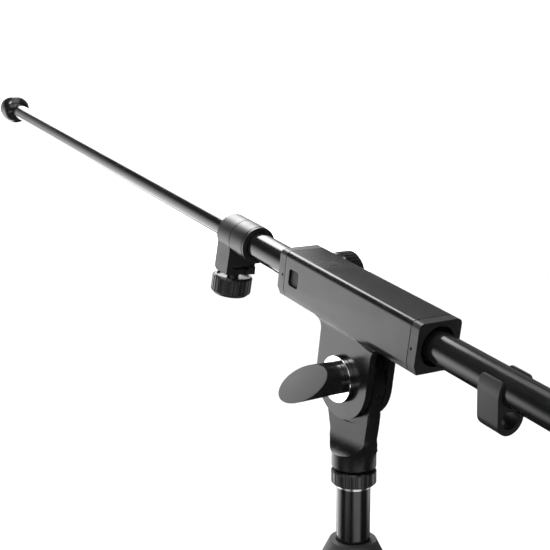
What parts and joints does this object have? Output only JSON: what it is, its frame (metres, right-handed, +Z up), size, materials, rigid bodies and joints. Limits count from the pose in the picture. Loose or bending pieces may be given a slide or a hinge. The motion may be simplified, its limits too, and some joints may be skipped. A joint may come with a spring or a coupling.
{
  "type": "boom microphone stand",
  "caption": "Floor-standing boom microphone stand: folding legs, telescoping column, tilting and telescoping boom with clamp knobs, tilt lever, end ball and cable clip.",
  "frame": {"origin": "on the column's axis at the floor, the centre of the bottom cap's underside", "axes": "+Z up the column, +X towards the microphone end of the boom seen from above, +Y towards the side of the boom clamp knob"},
  "size_m": [0.9154, 0.6304, 1.0804],
  "materials": {
    "powder_black": "satin",
    "tube_gloss": "gloss",
    "cast_black": "satin",
    "plastic_black": "matte",
    "knob_black": "semi-gloss",
    "rubber_black": "matte",
    "steel": "bright",
    "grey_block": "matte"
  },
  "bodies": {
    "column": {"bottom_cap": "plastic_black", "lower_tube": "tube_gloss", "clutch_body": "plastic_black", "clutch_collet": "plastic_black"},
    "leg_carrier": {"leg_carrier": "cast_black", "leg_pins": "steel"},
    "base_lock": {"base_lock_screw": "steel", "base_lock_knob": "knob_black"},
    "leg_1": {"leg_1_tube": "tube_gloss", "leg_1_knuckle": "plastic_black", "leg_1_foot": "rubber_black"},
    "leg_2": {"leg_2_tube": "tube_gloss", "leg_2_knuckle": "plastic_black", "leg_2_foot": "rubber_black"},
    "leg_3": {"leg_3_tube": "tube_gloss", "leg_3_knuckle": "plastic_black", "leg_3_foot": "rubber_black"},
    "clutch": {"clutch_grip": "rubber_black"},
    "upper_column": {"upper_tube": "tube_gloss", "upper_bush": "plastic_black", "top_stud": "steel"},
    "head_lock_ring": {"lock_ring": "powder_black"},
    "stand_head": {"stand_head": "cast_black"},
    "boom_head": {"friction_discs": "steel", "head_casting": "cast_black", "end_cap_left": "plastic_black", "end_cap_right": "plastic_black", "tube_bushes": "plastic_black", "clamp_shoe": "grey_block", "pressure_pad": "steel", "lever_washer": "steel", "lock_nut": "steel"},
    "lever": {"tilt_lever": "knob_black", "lever_screw": "steel"},
    "boom_clamp": {"clamp_screw": "steel", "clamp_knob": "knob_black"},
    "boom": {"boom_tube": "tube_gloss", "collar_body": "powder_black", "collar_ring": "plastic_black", "collar_nut": "steel", "collar_pad": "plastic_black", "mic_fitting": "powder_black"},
    "rod_clamp": {"collar_screw": "steel", "collar_knob": "knob_black"},
    "rod": {"boom_rod": "tube_gloss", "rod_glide": "plastic_black", "rod_ball": "plastic_black"},
    "clip": {"cable_clip": "plastic_black"},
    "mic_lock_ring": {"mic_ring": "powder_black"}
  },
  "joints": [
    {"name": "carrier_slide", "type": "slide", "parent": "column", "child": "leg_carrier", "axis": [0, 0, 1], "range_m": [0, 0.24]},
    {"name": "leg_1_fold", "type": "hinge", "parent": "leg_carrier", "child": "leg_1", "pos_m": [0.0285, 0, 0.11557], "axis": [0, 1, 0], "range_deg": [0, 72]},
    {"name": "leg_2_fold", "type": "hinge", "parent": "leg_carrier", "child": "leg_2", "pos_m": [-0.01425, 0.02468, 0.11557], "axis": [-0.866, -0.5, 0], "range_deg": [0, 72]},
    {"name": "leg_3_fold", "type": "hinge", "parent": "leg_carrier", "child": "leg_3", "pos_m": [-0.01425, -0.02468, 0.11557], "axis": [0.866, -0.5, 0], "range_deg": [0, 72]},
    {"name": "base_lock_turn", "type": "hinge", "parent": "leg_carrier", "child": "base_lock", "pos_m": [0, 0, 0.13457], "axis": [0.5, 0.866, 0], "range_deg": [0, 360]},
    {"name": "clutch_turn", "type": "hinge", "parent": "column", "child": "clutch", "pos_m": [0, 0, 0.78], "axis": [0, 0, 1], "range_deg": [0, 90]},
    {"name": "column_slide", "type": "slide", "parent": "column", "child": "upper_column", "axis": [0, 0, 1], "range_m": [0, 0.6]},
    {"name": "head_lock_ring_turn", "type": "hinge", "parent": "upper_column", "child": "head_lock_ring", "pos_m": [0, 0, 0.87], "axis": [0, 0, 1], "range_deg": [0, 360]},
    {"name": "head_swivel", "type": "hinge", "parent": "upper_column", "child": "stand_head", "pos_m": [0, 0, 0.87], "axis": [0, 0, 1], "continuous": true},
    {"name": "boom_tilt", "type": "hinge", "parent": "stand_head", "child": "boom_head", "pos_m": [0, 0, 0.93], "axis": [0, 1, 0], "range_deg": [-80, 65]},
    {"name": "lever_turn", "type": "hinge", "parent": "boom_head", "child": "lever", "pos_m": [0, 0, 0.93], "axis": [0, -1, 0], "range_deg": [-30, 150]},
    {"name": "boom_clamp_turn", "type": "hinge", "parent": "boom_head", "child": "boom_clamp", "pos_m": [-0.04235, 0, 0.98182], "axis": [0, 1, 0], "range_deg": [0, 360]},
    {"name": "boom_slide", "type": "slide", "parent": "boom_head", "child": "boom", "axis": [0.9852, 0, -0.1712], "range_m": [-0.02, 0.045]},
    {"name": "rod_clamp_turn", "type": "hinge", "parent": "boom", "child": "rod_clamp", "pos_m": [-0.13332, -0.00153, 0.9723], "axis": [-0.1709, -0.061, -0.9834], "range_deg": [0, 360]},
    {"name": "rod_slide", "type": "slide", "parent": "boom", "child": "rod", "axis": [0.9852, 0, -0.1712], "range_m": [-0.04, 0.37]},
    {"name": "clip_slide", "type": "slide", "parent": "boom", "child": "clip", "axis": [0.9852, 0, -0.1712], "range_m": [-0.02, 0.185]},
    {"name": "mic_lock_ring_turn", "type": "hinge", "parent": "boom", "child": "mic_lock_ring", "pos_m": [0.35233, 0, 0.91322], "axis": [0.9852, 0, -0.1712], "range_deg": [0, 360]}
  ],
  "couplings": [
    {"joint": "leg_1_fold", "follows": "carrier_slide", "rad_per_m": 5.2355},
    {"joint": "leg_2_fold", "follows": "carrier_slide", "rad_per_m": 5.2355},
    {"joint": "leg_3_fold", "follows": "carrier_slide", "rad_per_m": 5.2355}
  ]
}
